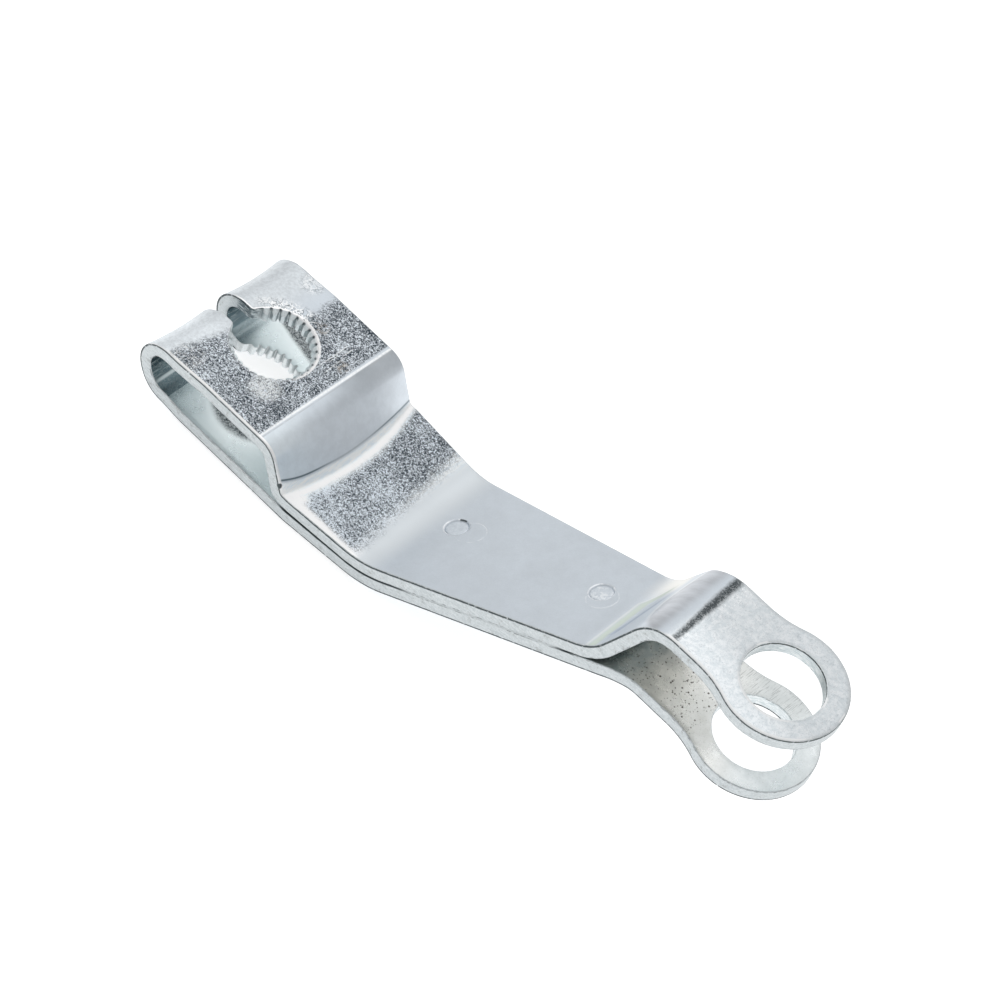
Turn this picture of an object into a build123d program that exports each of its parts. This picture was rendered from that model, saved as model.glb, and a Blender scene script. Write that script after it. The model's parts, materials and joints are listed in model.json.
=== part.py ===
from build123d import *
import os
from math import asin, atan, cos, degrees, radians, sin, sqrt, tan

# Brake arm of a drum brake, in millimetres.
# One strip of sheet steel is folded back on itself. The fold is a slotted clamp for the cam shaft. The two
# leaves then lie together along the waist, where two projection welds join them, and part again as a fork.
# The frame stands on the cam shaft's axis, at the underside of the lower leaf. +X runs to the fork, and +Z
# up through the clamp.

# Sheet
sheet = 2.0
leaf_gap = 0.25  # hairline left between the leaves where they lie together

# Clamp
clamp_width = 25.5
tunnel_height = 6.5  # clear height between the leaves, for the pinch bolt
tunnel_axis_x = -6.5  # the fold is round about the pinch bolt's axis
slot_width = 3.7
slot_corner = 1.0  # round where the slot opens into the bore

# Serrated bore for the cam shaft
tooth_count = 30
tooth_tip_radius = 5.45
tooth_depth = 0.55
tip_land_share = 0.42  # share of a tooth's pitch that is land at its tip
root_land_share = 0.12  # share of the pitch that is land between two teeth
bore_bevel = 0.7  # depth of the bevel at the bore's top edge
bore_bevel_angle = 45.0

# Side view of the leaves, measured along the middle of the sheet, with the bends' radii there
step_top_x = 11.75  # where the upper leaf turns down behind the clamp
step_run = 3.65  # how far on it lies down on the lower leaf, at the edges of the strip
step_bow = 2.1  # how much further out the foot of the step lies in the middle of the strip
step_top_bend = 2.6
step_foot_bend = 1.6
waist_x = 30.6  # where both leaves turn up
waist_angle = 27.7
waist_bend = 13.0
ear_reach = 21.05  # from where the leaves part to the eyes
fork_rise_angle = 66.0
fork_foot_bend = 8.5
fork_shoulder_bend = 5.4
lower_fork_bend = 12.0
lower_ear_height = 19.05  # underside of the lower ear above the underside of the clamp
fork_gap = 10.3  # clear gap between the ears

# Plan view of the leaves
taper_start_x = 17.5
taper_overrun = 1.15  # how far the taper runs past the point where the leaves part
taper_end_width = 16.7
neck_width = 14.3
upper_neck_run = 3.5  # from the end of the taper to the neck's full narrowness
lower_neck_run = 5.0
neck_round = 8.0

# Fork eyes
eye_x = 85.4
eye_outer_radius = 8.9
eye_hole_radius = 5.7
eye_blend = 14.0  # hollow round where the neck widens into the eye

# Projection welds, from the clamp to the fork
weld_past_waist = 4.8
weld_before_fork = 6.3
weld_y = 1.4
weld_radius = 1.65
weld_dimple = 0.35  # how deep the dimple over a weld is
weld_bite = 0.9  # how deep a weld reaches into the lower leaf

# Sizes that follow
cut_margin = 1.0  # how far a cutting shape runs past what it cuts
clamp_height = 2 * sheet + tunnel_height
slope = tan(radians(waist_angle))
tooth_root_radius = tooth_tip_radius + tooth_depth
tooth_pitch = 360 / tooth_count
lower_middle = sheet / 2
upper_middle = clamp_height - sheet / 2
lying_middle = sheet + leaf_gap + sheet / 2  # middle of the upper leaf where it lies on the lower one
step_foot_x = step_top_x + step_run
lower_waist_x = waist_x + (sheet + leaf_gap) * tan(radians(waist_angle / 2))
lower_ear_middle = lower_ear_height + sheet / 2
upper_ear_middle = lower_ear_middle + sheet + fork_gap
upper_ear_top = upper_ear_middle + sheet / 2
fork_x = eye_x - ear_reach
fork_foot_z = lying_middle + (fork_x - waist_x) * slope
fork_shoulder_x = fork_x + (upper_ear_middle - fork_foot_z) / tan(radians(fork_rise_angle))
lower_fork_x = lower_waist_x + (lower_ear_middle - lower_middle) / slope
tip_x = eye_x + eye_outer_radius
taper_end_x = fork_x + taper_overrun
weld_places_x = (waist_x + weld_past_waist, fork_x - weld_before_fork)
fold_radius = (tunnel_height + sheet) / 2  # at the middle of the sheet
fold_end_x = tunnel_axis_x - fold_radius - sheet / 2
full_height = upper_ear_top + 2 * cut_margin
step_zone_start = step_top_x - step_top_bend - cut_margin
step_zone_end = step_foot_x + step_bow + step_foot_bend + cut_margin
eye_corner_x = eye_x - sqrt(eye_outer_radius**2 - (neck_width / 2) ** 2)  # where the neck meets the eye


def plan_view(neck_run):
    """A leaf seen from above: parallel at the clamp, tapered along the waist, with an eye past its neck."""
    neck_x = taper_end_x + neck_run
    neck_turn = atan((taper_end_width - neck_width) / 2 / neck_run)
    widest_round = neck_run / 2 / tan(neck_turn / 2)
    far_side = [
        (fold_end_x - cut_margin, clamp_width / 2),
        (taper_start_x, clamp_width / 2),
        (taper_end_x, taper_end_width / 2),
        (neck_x, neck_width / 2),
        (eye_x, neck_width / 2),
    ]
    near_side = [(x, -y) for x, y in reversed(far_side)]
    with BuildSketch(Plane.XY.offset(-cut_margin)) as view:
        with BuildLine():
            Polyline(*far_side, *near_side, close=True)
        make_face()
        neck_corners = view.vertices().filter_by(lambda v: taper_end_x - cut_margin < v.X < neck_x + cut_margin)
        fillet(neck_corners, radius=min(neck_round, widest_round))
        with Locations((eye_x, 0)):
            Circle(eye_outer_radius)
        eye_corners = view.vertices().filter_by(lambda v: abs(v.X - eye_corner_x) < cut_margin)
        fillet(eye_corners, radius=eye_blend)
    return view.sketch


lower_corners = [
    (tip_x, lower_ear_middle),
    (lower_fork_x, lower_ear_middle),
    (lower_waist_x, lower_middle),
    (tunnel_axis_x, lower_middle),
]
upper_corners = [
    (step_zone_end, lying_middle),
    (waist_x, lying_middle),
    (fork_x, fork_foot_z),
    (fork_shoulder_x, upper_ear_middle),
    (tip_x, upper_ear_middle),
]

# The lower leaf, the fold at its end and the upper side of the clamp
with BuildPart() as lower_leaf:
    with BuildSketch(Plane.XZ):
        with BuildLine() as lower_line:
            FilletPolyline(*lower_corners, radius=[lower_fork_bend, waist_bend])
            RadiusArc(lower_corners[-1], (tunnel_axis_x, upper_middle), radius=fold_radius)
            Line((tunnel_axis_x, upper_middle), (step_zone_start, upper_middle))
        trace(lower_line.line, line_width=sheet)
    extrude(amount=clamp_width / 2, both=True)
    add(plan_view(lower_neck_run))
    extrude(amount=full_height, mode=Mode.INTERSECT)

# The step behind the clamp, whose foot bows out towards the fork
with BuildPart() as step:
    for edge_share in (-1, 0, 1):
        foot_x = step_foot_x + step_bow * (1 - abs(edge_share))
        with BuildSketch(Plane.XZ.offset(edge_share * clamp_width / 2)):
            with BuildLine() as step_line:
                FilletPolyline(
                    (step_zone_start, upper_middle),
                    (step_top_x, upper_middle),
                    (foot_x, lying_middle),
                    (step_zone_end, lying_middle),
                    radius=[step_top_bend, step_foot_bend],
                )
            trace(step_line.line, line_width=sheet)
    loft()

# The upper leaf past the step, along the waist and up to its ear
with BuildPart() as upper_leaf:
    with BuildSketch(Plane.XZ):
        with BuildLine() as upper_line:
            FilletPolyline(*upper_corners, radius=[waist_bend, fork_foot_bend, fork_shoulder_bend])
        trace(upper_line.line, line_width=sheet)
    extrude(amount=clamp_width / 2, both=True)
    add(step.part)
    add(plan_view(upper_neck_run))
    extrude(amount=full_height, mode=Mode.INTERSECT)

# Opening of the clamp seen from above: the slot, and the bore as far as the roots of its teeth
with BuildSketch(Plane.XY.offset(-cut_margin)) as clamp_opening:
    Circle(tooth_root_radius)
    with Locations((fold_end_x - cut_margin, 0)):
        Rectangle(-fold_end_x + cut_margin, slot_width, align=(Align.MIN, Align.CENTER))
    slot_mouth = clamp_opening.vertices().filter_by(lambda v: -tooth_root_radius < v.X < 0)
    fillet(slot_mouth, radius=slot_corner)
    slot_half_angle = degrees(asin((slot_width / 2 + slot_corner) / tooth_root_radius))
    teeth = [i * tooth_pitch for i in range(tooth_count)]
    teeth = [angle for angle in teeth if abs(angle - 180) > slot_half_angle + tooth_pitch / 2]
    tip_angle = radians(tooth_pitch * tip_land_share / 2)
    root_angle = radians(tooth_pitch * (1 - root_land_share) / 2)
    root_reach = 2 * tooth_root_radius - tooth_tip_radius
    tooth = [
        (tooth_tip_radius * cos(tip_angle), tooth_tip_radius * sin(tip_angle)),
        (tooth_root_radius * cos(root_angle), tooth_root_radius * sin(root_angle)),
        (root_reach * cos(root_angle), root_reach * sin(root_angle)),
    ]
    mirrored_tooth = [(x, -y) for x, y in reversed(tooth)]
    for angle in teeth:
        with Locations(Rotation(0, 0, angle)):
            Polygon(*tooth, *mirrored_tooth, align=None, mode=Mode.SUBTRACT)
    Circle(tooth_tip_radius)

# Where the welds stand, on the sloping top of the upper leaf, with Z out of the sheet
weld_planes = []
for x in weld_places_x:
    middle_z = lying_middle + (x - waist_x) * slope
    across = Plane(origin=(x, weld_y, middle_z), x_dir=(1, 0, slope), z_dir=(-slope, 0, 1))
    weld_planes.append(across.offset(sheet / 2))
weld_depth = sheet + leaf_gap + weld_bite

# The whole folded strip, with its openings and the seats of the two welds
with BuildPart() as folded_strip:
    add(lower_leaf.part)
    add(upper_leaf.part)
    add(clamp_opening.sketch)
    extrude(amount=clamp_height + 2 * cut_margin, mode=Mode.SUBTRACT)
    with BuildSketch(Plane.XY.offset(clamp_height)):
        Circle(tooth_tip_radius + bore_bevel * tan(radians(bore_bevel_angle)))
    extrude(amount=-bore_bevel, taper=bore_bevel_angle, mode=Mode.SUBTRACT)
    with Locations((eye_x, 0, 0)):
        Cylinder(eye_hole_radius, full_height, align=(Align.CENTER, Align.CENTER, Align.MIN), mode=Mode.SUBTRACT)
    for plane in weld_planes:
        with BuildSketch(plane):
            Circle(weld_radius)
        extrude(amount=-weld_depth, mode=Mode.SUBTRACT)
folded_strip.part.label = "folded_strip"


def weld(plane):
    """Metal of one projection weld, from the floor of its dimple down into the lower leaf."""
    with BuildPart() as nugget:
        with BuildSketch(plane.offset(-weld_dimple)):
            Circle(weld_radius)
        extrude(amount=-(weld_depth - weld_dimple))
    return nugget.part


front_weld = weld(weld_planes[0])
front_weld.label = "front_weld"
rear_weld = weld(weld_planes[1])
rear_weld.label = "rear_weld"

os.makedirs("parts", exist_ok=True)
for piece in (folded_strip.part, front_weld, rear_weld):
    export_step(piece, f"parts/{piece.label}.step")
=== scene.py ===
import json
import math

import bpy
import numpy as np
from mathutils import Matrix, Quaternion, Vector
from mathutils.geometry import delaunay_2d_cdt


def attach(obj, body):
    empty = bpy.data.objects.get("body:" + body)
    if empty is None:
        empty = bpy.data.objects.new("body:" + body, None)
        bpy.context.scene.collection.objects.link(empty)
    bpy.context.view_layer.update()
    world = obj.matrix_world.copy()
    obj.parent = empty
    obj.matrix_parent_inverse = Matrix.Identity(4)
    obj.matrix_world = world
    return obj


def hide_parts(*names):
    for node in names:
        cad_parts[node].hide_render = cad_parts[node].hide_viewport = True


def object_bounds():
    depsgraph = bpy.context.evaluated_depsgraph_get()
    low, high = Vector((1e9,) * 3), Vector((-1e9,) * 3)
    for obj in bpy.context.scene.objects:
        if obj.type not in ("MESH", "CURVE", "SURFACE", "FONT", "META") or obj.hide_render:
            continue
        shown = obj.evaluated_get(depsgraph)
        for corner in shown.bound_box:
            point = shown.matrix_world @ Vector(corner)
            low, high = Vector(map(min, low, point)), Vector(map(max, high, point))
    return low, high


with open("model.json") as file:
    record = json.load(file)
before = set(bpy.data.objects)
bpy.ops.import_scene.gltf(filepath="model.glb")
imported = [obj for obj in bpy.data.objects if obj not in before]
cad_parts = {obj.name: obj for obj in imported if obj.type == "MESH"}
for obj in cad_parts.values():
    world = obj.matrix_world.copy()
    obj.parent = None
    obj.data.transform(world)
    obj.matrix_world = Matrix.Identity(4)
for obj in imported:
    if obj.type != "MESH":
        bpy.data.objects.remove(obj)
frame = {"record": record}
cad_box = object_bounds()

# Brake arm of a drum brake. Lengths are in millimetres until a mesh is made.
# The strip is built flat, as its blank, and then bent. "along" runs along the middle of the strip from the
# nose of the fold, negative on the lower leaf and positive on the upper one. "across" is the frame's Y, and
# "through" runs from -1 on the inner face of the sheet to 1 on the outer one.
MM = 0.001

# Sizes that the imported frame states
mounts = {mount["name"]: mount for mount in frame["record"]["mounts"]}
tip_radius = mounts["cam_bore"]["dims"]["r_mm"]
bore_length = mounts["cam_bore"]["dims"]["length_mm"]
tunnel_x, _, clamp_middle_z = (c / MM for c in mounts["pinch_bolt"]["pos_m"])
tunnel_radius = mounts["pinch_bolt"]["dims"]["r_mm"]
clamp_width = mounts["pinch_bolt"]["dims"]["length_mm"]
eye_x, _, upper_ear_top = (c / MM for c in mounts["fork_eyes"]["pos_m"])
eye_hole_radius = mounts["fork_eyes"]["dims"]["r_mm"]
lower_ear_height = upper_ear_top - mounts["fork_eyes"]["dims"]["length_mm"]
clamp_height = 2 * clamp_middle_z
tip_x = cad_box[1].x / MM
eye_outer_radius = tip_x - eye_x
sheet = clamp_middle_z - tunnel_radius
half_width = clamp_width / 2

# Sizes of the strip that the frame doesn't state
leaf_gap = 0.25
slot_width = 3.7
slot_corner = 1.0
tooth_count = 30
tooth_depth = 0.55
tip_land_share = 0.42
root_land_share = 0.12
step_top_x = 11.75
step_run = 3.65
step_bow = 2.1
step_top_bend = 2.6
step_foot_bend = 1.5
waist_x = 30.6
waist_angle = 27.7
waist_bend = 13.0
ear_reach = 21.05
fork_rise_angle = 66.0
fork_foot_bend = 8.5
fork_shoulder_bend = 5.4
lower_fork_bend = 12.0
taper_start_x = 17.5
taper_overrun = 1.15
taper_end_width = 16.7
neck_width = 14.3
upper_neck_run = 3.5
lower_neck_run = 5.0
neck_round = 8.0
eye_blend = 14.0
weld_past_waist = 4.8
weld_before_fork = 6.3
weld_y = 1.4
weld_radius = 1.65
dimple_floor = 0.5  # how deep the strip's own face goes under a weld
weld_sink = 0.10  # how far the top of a weld's button lies below the face of the strip

# How the sheet departs from plain bends: the leaves pinch together at the fold, and its nose is a saddle
pinch_depth = 0.42
upper_pinch_run = 7.0
lower_pinch_run = 4.5
nose_turn = 0.31  # where the nose stands out furthest, as a share of the fold from its top
nose_reach = (1 / 3, 0.417)  # how far that reaches above and below it, as shares of the fold
near_saddle = (-4.6, -0.39, 0.235)  # across and swell where the nose is lowest, and swell at the near edge
far_saddle = (8.7, -0.45, 0.1)

# Fineness of the mesh
edge_round = 0.16
closed_round = 0.05  # round of the inner corners where the gap between the leaves is closed
closed_gap = 0.02
closing_x = (34.0, 40.0)  # where the plating closes the gap
opening_x = (57.0, 61.5)  # where the gap opens again
rim_wave = 0.14  # how much further the bevel reaches over the roots of the teeth than over their tips
hole_round = 0.12
tooth_round = 0.05
corner_shares = (0, 1 / 3, 2 / 3, 1)  # rows of a rounded corner, from its face to the wall
wall_shares = (1 / 3, 2 / 3)
loop_step = 0.42
grid_step = 0.85
column_step = 0.68
bend_step = 0.35  # in a bend of bend_step_radius, and longer in wider bends
bend_step_radius = 3
least_bend_share = 0.6
border_clearance = 0.294  # least distance of the grid from the edges
dimple_rings = (0.5, 0.28, 0.18, 0.09, 0, -0.09, -0.18, -0.26, -0.35, -0.7, -1.15)  # past the weld's radius
ring_step = 0.3
ring_clearance = 0.85
slope_step = 0.02  # for the slopes of the bent sheet
search_step = 0.1  # for the first guess of a place along the strip
search_rounds = 12
least_rate = 0.2
least_spread = 0.6  # keeps the rounding short where an edge turns sharply
merge_distance = 1e-6
bore_step = 0.3
slot_corner_step = 0.25
column_start = 0.3 - half_width
button_sides = 48
button_profile = ((0.4, 0.01), (0.75, 0.02), (0.9, 0.035), (0.96, 0.06), (1.0, 0.11), (1.06, 0.3))
sharp_angle = 38
OUTER, INNER, CUT = 0, 1, 2  # the strip's finishes

# Sizes that follow
root_radius = tip_radius + tooth_depth
bevel_radius = tip_radius + clamp_height - bore_length
slope = math.tan(math.radians(waist_angle))
lying_middle = sheet + leaf_gap + sheet / 2
lower_waist_x = waist_x + (sheet + leaf_gap) * math.tan(math.radians(waist_angle / 2))
upper_ear_middle = upper_ear_top - sheet / 2
lower_ear_middle = lower_ear_height + sheet / 2
fork_x = eye_x - ear_reach
fork_foot_z = lying_middle + (fork_x - waist_x) * slope
fork_shoulder_x = fork_x + (upper_ear_middle - fork_foot_z) / math.tan(math.radians(fork_rise_angle))
lower_fork_x = lower_waist_x + (lower_ear_middle - sheet / 2) / slope
taper_end_x = fork_x + taper_overrun
fold_radius = tunnel_radius + sheet / 2
weld_places_x = (waist_x + weld_past_waist, fork_x - weld_before_fork)
side_start_x = tunnel_x + 0.5  # just past the fold
dimple_wall = (weld_radius - 0.35, weld_radius + 0.18)
button_radius = weld_radius - 0.05


# Side view of the strip

def side_corners(across):
    """Corners of the middle of the sheet in side view, from the lower ear to the upper, with their bends."""
    foot_x = step_top_x + step_run + step_bow * (1 - (across / half_width) ** 2)
    nose_x = tunnel_x - fold_radius
    upper_z = clamp_height - sheet / 2
    return [
        (tip_x, lower_ear_middle, 0),
        (lower_fork_x, lower_ear_middle, lower_fork_bend),
        (lower_waist_x, sheet / 2, waist_bend),
        (nose_x, sheet / 2, fold_radius),
        (nose_x, upper_z, fold_radius),
        (step_top_x, upper_z, step_top_bend),
        (foot_x, lying_middle, step_foot_bend),
        (waist_x, lying_middle, waist_bend),
        (fork_x, fork_foot_z, fork_foot_bend),
        (fork_shoulder_x, upper_ear_middle, fork_shoulder_bend),
        (tip_x, upper_ear_middle, 0),
    ]


def left_of(heading):
    return np.stack([-heading[..., 1], heading[..., 0]], -1)


def side_segments(across):
    """Straights and arcs of the side view: (start, heading, length, bend radius, turn), a row per point."""
    corners = side_corners(across)
    points = [np.stack([x + 0 * across, z + 0 * across], -1) for x, z, _ in corners]
    headings = [b - a for a, b in zip(points, points[1:])]
    headings = [h / np.linalg.norm(h, axis=-1, keepdims=True) for h in headings]
    segments = []
    start = points[0]
    for i in range(1, len(points) - 1):
        before, after = headings[i - 1], headings[i]
        cross = before[..., 0] * after[..., 1] - before[..., 1] * after[..., 0]
        turn = np.arctan2(cross, (before * after).sum(-1))
        radius = corners[i][2]
        setback = (radius * np.tan(abs(turn) / 2))[..., None]
        arc_start = points[i] - before * setback
        length = ((arc_start - start) * before).sum(-1)
        segments.append((start, before, length, 0, 0 * turn))
        segments.append((arc_start, before, radius * abs(turn), radius, turn))
        start = points[i] + after * setback
    length = np.linalg.norm(points[-1] - start, axis=-1)
    segments.append((start, headings[-1], length, 0, 0 * length))
    return segments


middle_lengths = [float(s[2][0]) for s in side_segments(np.zeros(1))]
marks = np.concatenate([[0.0], np.cumsum(middle_lengths)])
marks = marks - marks[7]  # the fold is two quarter turns, from mark 5 to its nose and on to mark 8
fold_start, fold_end = marks[5], marks[8]
strip_start, strip_end = marks[0], marks[-1]


def smooth(value, low, high):
    """0 below low, 1 above high and an even curve between, as numpy arrays."""
    share = np.clip((value - low) / (high - low), 0, 1)
    return share * share * (3 - 2 * share)


def swell(along, across):
    """How far the sheet stands out of its plain bends."""
    pinch = smooth(along, fold_start - lower_pinch_run, fold_start)
    pinch = pinch * (1 - smooth(along, fold_end, fold_end + upper_pinch_run))
    from_top = (fold_end - along) / (fold_end - fold_start)
    offset = from_top - nose_turn
    reach = np.where(offset < 0, *nose_reach)
    bulge = np.cos(np.clip(offset / reach, -1, 1) * math.pi / 2) ** 2
    near_y, near_low, near_high = near_saddle
    far_y, far_low, far_high = far_saddle
    near = near_low + (near_high - near_low) * ((across - near_y) / (half_width + near_y)) ** 2
    far = far_low + (far_high - far_low) * ((across - far_y) / (far_y - slot_width / 2)) ** 2
    nose = np.where(across < 0, near, far)
    return -pinch_depth * pinch + (nose + pinch_depth) * bulge


def middle(along, across):
    """Places of points in the middle of the bent sheet."""
    place = np.zeros((len(along), 2))
    heading = np.zeros((len(along), 2))
    segments = side_segments(across)
    for i, (start, ahead, length, radius, turn) in enumerate(segments):
        low = -np.inf if i == 0 else marks[i]
        high = np.inf if i == len(segments) - 1 else marks[i + 1]
        here = (along >= low) & (along < high)
        if not here.any():
            continue
        share = (along[here] - marks[i]) / (marks[i + 1] - marks[i])
        side = left_of(ahead[here])
        if radius:
            angle = share * turn[here]
            reach = radius * np.sin(abs(angle))
            out = radius * np.sign(turn[here]) * (1 - np.cos(angle))
            place[here] = start[here] + ahead[here] * reach[:, None] + side * out[:, None]
            heading[here] = ahead[here] * np.cos(angle)[:, None] + side * np.sin(angle)[:, None]
        else:
            place[here] = start[here] + ahead[here] * (share * length[here])[:, None]
            heading[here] = ahead[here]
    place = place + left_of(heading) * swell(along, across)[:, None]
    return np.stack([place[:, 0], across, place[:, 1]], -1)


def ahead_at(along, across):
    """A short way along the bent strip, for its slope."""
    return middle(along + slope_step, across) - middle(along - slope_step, across)


def bent(along, across, through):
    """Places of points of the sheet, in millimetres."""
    along, across, through = (np.asarray(a, float) for a in (along, across, through))
    ahead = ahead_at(along, across)
    normal = np.stack([-ahead[:, 2], 0 * across, ahead[:, 0]], -1)
    normal /= np.linalg.norm(normal, axis=1)[:, None]
    return middle(along, across) + normal * (through * sheet / 2)[:, None]


def along_at(x, across, leaf):
    """Where along the strip its middle stands over the frame's x, on the lower (-1) or upper (1) leaf."""
    x, across = np.asarray(x, float), np.asarray(across, float)
    grid = np.arange(0, strip_end if leaf > 0 else -strip_start, search_step) * leaf
    grid_x = middle(grid, np.zeros(len(grid)))[:, 0]
    along = np.interp(x, grid_x, grid)
    for _ in range(search_rounds):
        error = x - middle(along, across)[:, 0]
        rate = ahead_at(along, across)[:, 0] / (2 * slope_step)
        along = along + np.clip(error / np.where(abs(rate) < least_rate, least_rate * leaf, rate), -1, 1)
    return along


# Plan view of the strip

def arc(centre, radius, start, end, step):
    """Points on an arc, angles in radians."""
    count = max(2, math.ceil(abs(end - start) * radius / step) + 1)
    angles = np.linspace(start, end, count)
    return [(centre[0] + radius * math.cos(a), centre[1] + radius * math.sin(a)) for a in angles]


def rounded(points, radius, step):
    """A polyline in plan whose inner corners are rounded."""
    result = [points[0]]
    for before, corner, after in zip(points, points[1:], points[2:]):
        before, corner, after = Vector(before), Vector(corner), Vector(after)
        a, b = (before - corner).normalized(), (after - corner).normalized()
        half = a.angle(b) / 2
        centre = corner + (a + b).normalized() * (radius / math.sin(half))
        first, last = corner + a * (radius / math.tan(half)), corner + b * (radius / math.tan(half))
        start = math.atan2(first.y - centre.y, first.x - centre.x)
        end = math.atan2(last.y - centre.y, last.x - centre.x)
        end = start + (end - start + math.pi) % (2 * math.pi) - math.pi
        result += arc(centre, radius, start, end, step)
    return result + [points[-1]]


def leaf_side(neck_run):
    """The far half of a leaf's outline in plan, from the clamp to the tip of the eye."""
    half_neck = neck_width / 2
    blend_reach = math.sqrt((eye_outer_radius + eye_blend) ** 2 - (half_neck + eye_blend) ** 2)
    blend_centre = (eye_x - blend_reach, half_neck + eye_blend)
    meeting = math.atan2(blend_centre[1], blend_centre[0] - eye_x)
    corners = [
        (taper_start_x, half_width),
        (taper_end_x, taper_end_width / 2),
        (taper_end_x + neck_run, half_neck),
        (blend_centre[0], half_neck),
    ]
    side = [(side_start_x, half_width)] + rounded(corners, neck_round, loop_step)
    side += arc(blend_centre, eye_blend, -math.pi / 2, meeting - math.pi, loop_step)[1:]
    side += arc((eye_x, 0), eye_outer_radius, meeting, 0, loop_step)[1:]
    return side


def bore_side():
    """The serrated bore in plan, from the slot's near edge round to its far edge."""
    corner_y = slot_width / 2 + slot_corner
    corner_x = -math.sqrt((root_radius + slot_corner) ** 2 - corner_y**2)
    corner_angle = math.atan2(corner_y, corner_x)
    pitch = 2 * math.pi / tooth_count
    tip, root = pitch * tip_land_share / 2, pitch * (1 - root_land_share) / 2
    tooth = [(root_radius, -root), (tip_radius, -tip), (tip_radius, 0)]
    tooth += [(tip_radius, tip), (root_radius, root)]
    count = int((corner_angle - pitch / 2) / pitch)
    teeth = []
    for i in range(-count, count + 1):
        teeth += [(r * math.cos(i * pitch + a), r * math.sin(i * pitch + a)) for r, a in tooth]
    far_end = arc((0, 0), root_radius, count * pitch + root, corner_angle, bore_step)[1:]
    corner = (corner_x, corner_y)
    far_end += arc(corner, slot_corner, corner_angle - math.pi, -math.pi / 2, slot_corner_step)[1:]
    return mirrored(far_end) + teeth + far_end


def divided(points, step):
    """A closed loop of blank points with its long stretches divided."""
    result = []
    for (a, b), (c, d) in zip(points, points[1:] + points[:1]):
        count = max(1, math.ceil(math.hypot(c - a, d - b) / step))
        result += [(a + (c - a) * i / count, b + (d - b) * i / count) for i in range(count)]
    return result


def on_leaf(points, leaf):
    """Plan points as blank points of a leaf."""
    x, y = zip(*points)
    return list(zip(along_at(x, y, leaf), y))


def mirrored(points):
    return [(x, -y) for x, y in reversed(points)]


def outline_loop():
    lower, upper = leaf_side(lower_neck_run), leaf_side(upper_neck_run)
    far = on_leaf(lower[::-1], -1) + on_leaf(upper, 1)
    return divided(far[:-1] + mirrored(far)[:-1], loop_step)


def opening_loop():
    """The slot with the bore at both its ends, one hole in the blank."""
    bore = bore_side()
    return divided(on_leaf(bore, 1) + on_leaf(bore[::-1], -1), loop_step)


def eye_loop(leaf):
    return on_leaf(arc((eye_x, 0), eye_hole_radius, 0, 2 * math.pi, loop_step)[:-1], leaf)


# The blank as a mesh

def at_depth(depth):
    """Place through the sheet, from the depth under its outer face."""
    return 1 - 2 / sheet * depth


def rounded_corner(radius, share):
    """How far a point of a rounded corner lies in from the edge and under the face, which has share 0."""
    angle = share * math.pi / 2
    return radius * (1 - math.sin(angle)), radius * (1 - math.cos(angle))


class Loop:
    """An edge of the blank, and how its corners are rounded at the outer and the inner face."""

    def __init__(self, points, hole, corner):
        points = np.array(points)
        ahead = np.roll(points, -1, 0) - points
        area = (points[:, 0] * np.roll(points[:, 1], -1) - points[:, 1] * np.roll(points[:, 0], -1)).sum()
        if (area > 0) == hole:
            points = points[::-1]
            ahead = np.roll(points, -1, 0) - points
        ahead /= np.linalg.norm(ahead, axis=1)[:, None]
        side = left_of(ahead)
        inward = side + np.roll(side, 1, 0)
        inward /= np.maximum((inward * side).sum(1), least_spread)[:, None]
        self.points, self.inward = points, inward
        self.outer = np.full(len(points), corner)
        self.inner = np.full(len(points), corner)
        self.bevel = np.zeros(len(points), bool)
        self.face = np.full(len(points), -1.0)

    def meet(self):
        """Lets the inner corners of the two leaves meet where the plating closes their gap."""
        x = middle(self.points[:, 0], self.points[:, 1])[:, 0]
        closed = smooth(x, *closing_x) * (1 - smooth(x, *opening_x))
        self.face = -1 - closed * (leaf_gap - closed_gap) / sheet
        self.inner = edge_round + (closed_round - edge_round) * closed

    def bevel_bore(self, centre):
        """Cuts the bore's top edge back to the bevel's circle."""
        out = self.points - (centre, 0)
        reach = np.linalg.norm(out, axis=1)
        rim = bevel_radius + rim_wave * (np.clip((reach - tip_radius) / tooth_depth, 0, 1) - 0.5)
        self.bevel = (reach < rim - tooth_round) & (self.points[:, 0] > fold_end)
        self.outer = np.where(self.bevel, rim - reach, self.outer)
        self.outward = out / reach[:, None]

    def rows(self):
        """Rows of (blank point, through) from the outer face over the cut edge to the inner face."""
        rows = []
        for share in corner_shares:
            inset, drop = rounded_corner(self.outer, share)
            inset = np.where(self.bevel, self.outer * (1 - share), inset)
            drop = np.where(self.bevel, self.outer * share, drop)
            rows.append((self.shifted(inset, outer=True), at_depth(drop)))
        top, foot = rows[-1][1], self.face + 2 * self.inner / sheet
        for share in wall_shares:
            rows.append((self.points, top + (foot - top) * share))
        for share in corner_shares[::-1]:
            inset, drop = rounded_corner(self.inner, share)
            rows.append((self.shifted(inset), self.face + 2 * drop / sheet))
        return rows

    def shifted(self, inset, outer=False):
        way = self.inward
        if outer and self.bevel.any():
            way = np.where(self.bevel[:, None], self.outward, way)
        return self.points + way * inset[:, None]


def inside(points, loops):
    """Which blank points lie on metal: inside the outline and outside the holes."""
    odd = np.zeros(len(points), bool)
    along, across = points.T
    for loop in loops:
        for (start, start_y), (end, end_y) in zip(loop, np.roll(loop, -1, 0)):
            spans = (start_y > across) != (end_y > across)
            if spans.any():
                crossing = start + (across - start_y) / (end_y - start_y) * (end - start)
                odd ^= spans & (along < crossing)
    return odd


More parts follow.
